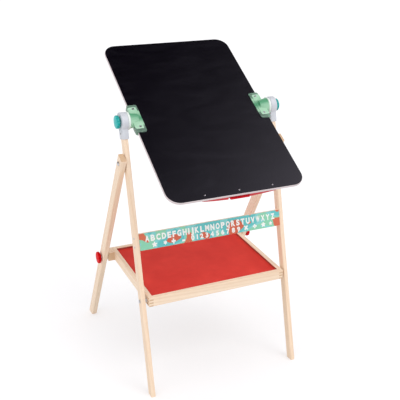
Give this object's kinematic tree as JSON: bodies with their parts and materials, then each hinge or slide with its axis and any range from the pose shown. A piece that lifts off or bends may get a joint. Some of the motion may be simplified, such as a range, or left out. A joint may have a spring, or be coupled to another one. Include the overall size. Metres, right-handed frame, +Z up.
{
  "type": "kids easel",
  "caption": "Folding kids easel: a flip-over chalk and dry-wipe board in translucent clamps between leaning wooden legs, with a letter rail and a finger-jointed tray.",
  "frame": {"origin": "on the floor, in the middle of the whole easel's box", "axes": "+X across the easel, to the user's right; +Y towards its back; +Z up"},
  "size_m": [0.5688, 0.6654, 0.9774],
  "materials": {
    "wood": "clear lacquer, pale hardwood",
    "core": "painted fibreboard edge",
    "chalk": "matt chalkboard paint",
    "enamel": "white enamel on steel",
    "red_panel": "painted hardboard",
    "steel": "zinc plated",
    "brass": "turned brass",
    "white_plastic": "satin moulded plastic",
    "teal_plastic": "gloss moulded plastic",
    "red_plastic": "gloss moulded plastic",
    "green_plastic": "translucent moulded plastic"
  },
  "bodies": {
    "frame": {"front_leg_right": "wood", "front_leg_left": "wood", "letter_rail": "wood", "rail_screws": "steel", "hinge_bolt_right": "steel", "hinge_bolt_left": "steel", "hinge_inserts": "steel", "hinge_spacers": "white_plastic", "hinge_washers": "steel", "bracket_right": "white_plastic", "bracket_left": "white_plastic", "bracket_screws": "steel", "pivot_washers": "steel", "tray_spacers": "white_plastic"},
    "board": {"board_core": "core", "chalkboard_face": "chalk", "whiteboard_face": "enamel", "clamp_right": "green_plastic", "clamp_left": "green_plastic", "pivot_bolt_right": "steel", "pivot_bolt_left": "steel", "friction_disc_right": "white_plastic", "friction_disc_left": "white_plastic", "clamp_screws": "steel", "clip_base": "red_plastic", "clip_pin": "steel", "clip_spring_right": "steel", "clip_spring_left": "steel", "clip_screws": "steel"},
    "clip_jaw": {"clip_jaw": "red_plastic"},
    "tray": {"tray_front_rail": "wood", "tray_back_rail": "wood", "tray_side_rail_right": "wood", "tray_side_rail_left": "wood", "tray_panel": "red_panel", "tray_block_right": "wood", "tray_block_left": "wood", "tray_bolt_right": "steel", "tray_bolt_left": "steel"},
    "pivot_knob_left": {"pivot_knob_left": "teal_plastic", "pivot_knob_insert_left": "brass"},
    "rear_leg_left": {"rear_leg_left": "wood", "latch_bolt_left": "steel", "latch_washers_left": "steel"},
    "latch_knob_left": {"latch_knob_left": "red_plastic", "latch_knob_insert_left": "brass"},
    "pivot_knob_right": {"pivot_knob_right": "teal_plastic", "pivot_knob_insert_right": "brass"},
    "rear_leg_right": {"rear_leg_right": "wood", "latch_bolt_right": "steel", "latch_washers_right": "steel"},
    "latch_knob_right": {"latch_knob_right": "red_plastic", "latch_knob_insert_right": "brass"}
  },
  "joints": [
    {"name": "board_flip", "type": "hinge", "parent": "frame", "child": "board", "pos_m": [0, -0.05799, 0.806], "axis": [1, 0, 0], "continuous": true},
    {"name": "clip_jaw_press", "type": "hinge", "parent": "board", "child": "clip_jaw", "pos_m": [0, -0.31272, 0.63779], "axis": [-1, 0, 0], "range_deg": [0, 7], "stiffness_Nm_per_rad": 0.25, "springref_deg": -28.65},
    {"name": "tray_fold", "type": "hinge", "parent": "frame", "child": "tray", "pos_m": [0, -0.17995, 0.286], "axis": [1, 0, 0], "range_deg": [0, 68]},
    {"name": "pivot_knob_left_turn", "type": "hinge", "parent": "board", "child": "pivot_knob_left", "pos_m": [0, -0.05799, 0.806], "axis": [-1, 0, 0], "range_deg": [0, 360]},
    {"name": "rear_leg_left_fold", "type": "hinge", "parent": "frame", "child": "rear_leg_left", "pos_m": [0, -0.0852, 0.69], "axis": [-1, 0, 0], "range_deg": [0, 38.5]},
    {"name": "latch_knob_left_turn", "type": "hinge", "parent": "rear_leg_left", "child": "latch_knob_left", "pos_m": [0, 0.14298, 0.29522], "axis": [-1, 0, 0], "range_deg": [0, 360]},
    {"name": "pivot_knob_right_turn", "type": "hinge", "parent": "board", "child": "pivot_knob_right", "pos_m": [0, -0.05799, 0.806], "axis": [1, 0, 0], "range_deg": [0, 360]},
    {"name": "rear_leg_right_fold", "type": "hinge", "parent": "frame", "child": "rear_leg_right", "pos_m": [0, -0.0852, 0.69], "axis": [-1, 0, 0], "range_deg": [0, 38.5]},
    {"name": "latch_knob_right_turn", "type": "hinge", "parent": "rear_leg_right", "child": "latch_knob_right", "pos_m": [0, 0.14298, 0.29522], "axis": [1, 0, 0], "range_deg": [0, 360]}
  ],
  "couplings": [
    {"joint": "rear_leg_left_fold", "follows": "tray_fold", "ratio": 0.56617},
    {"joint": "rear_leg_right_fold", "follows": "tray_fold", "ratio": 0.56617}
  ]
}
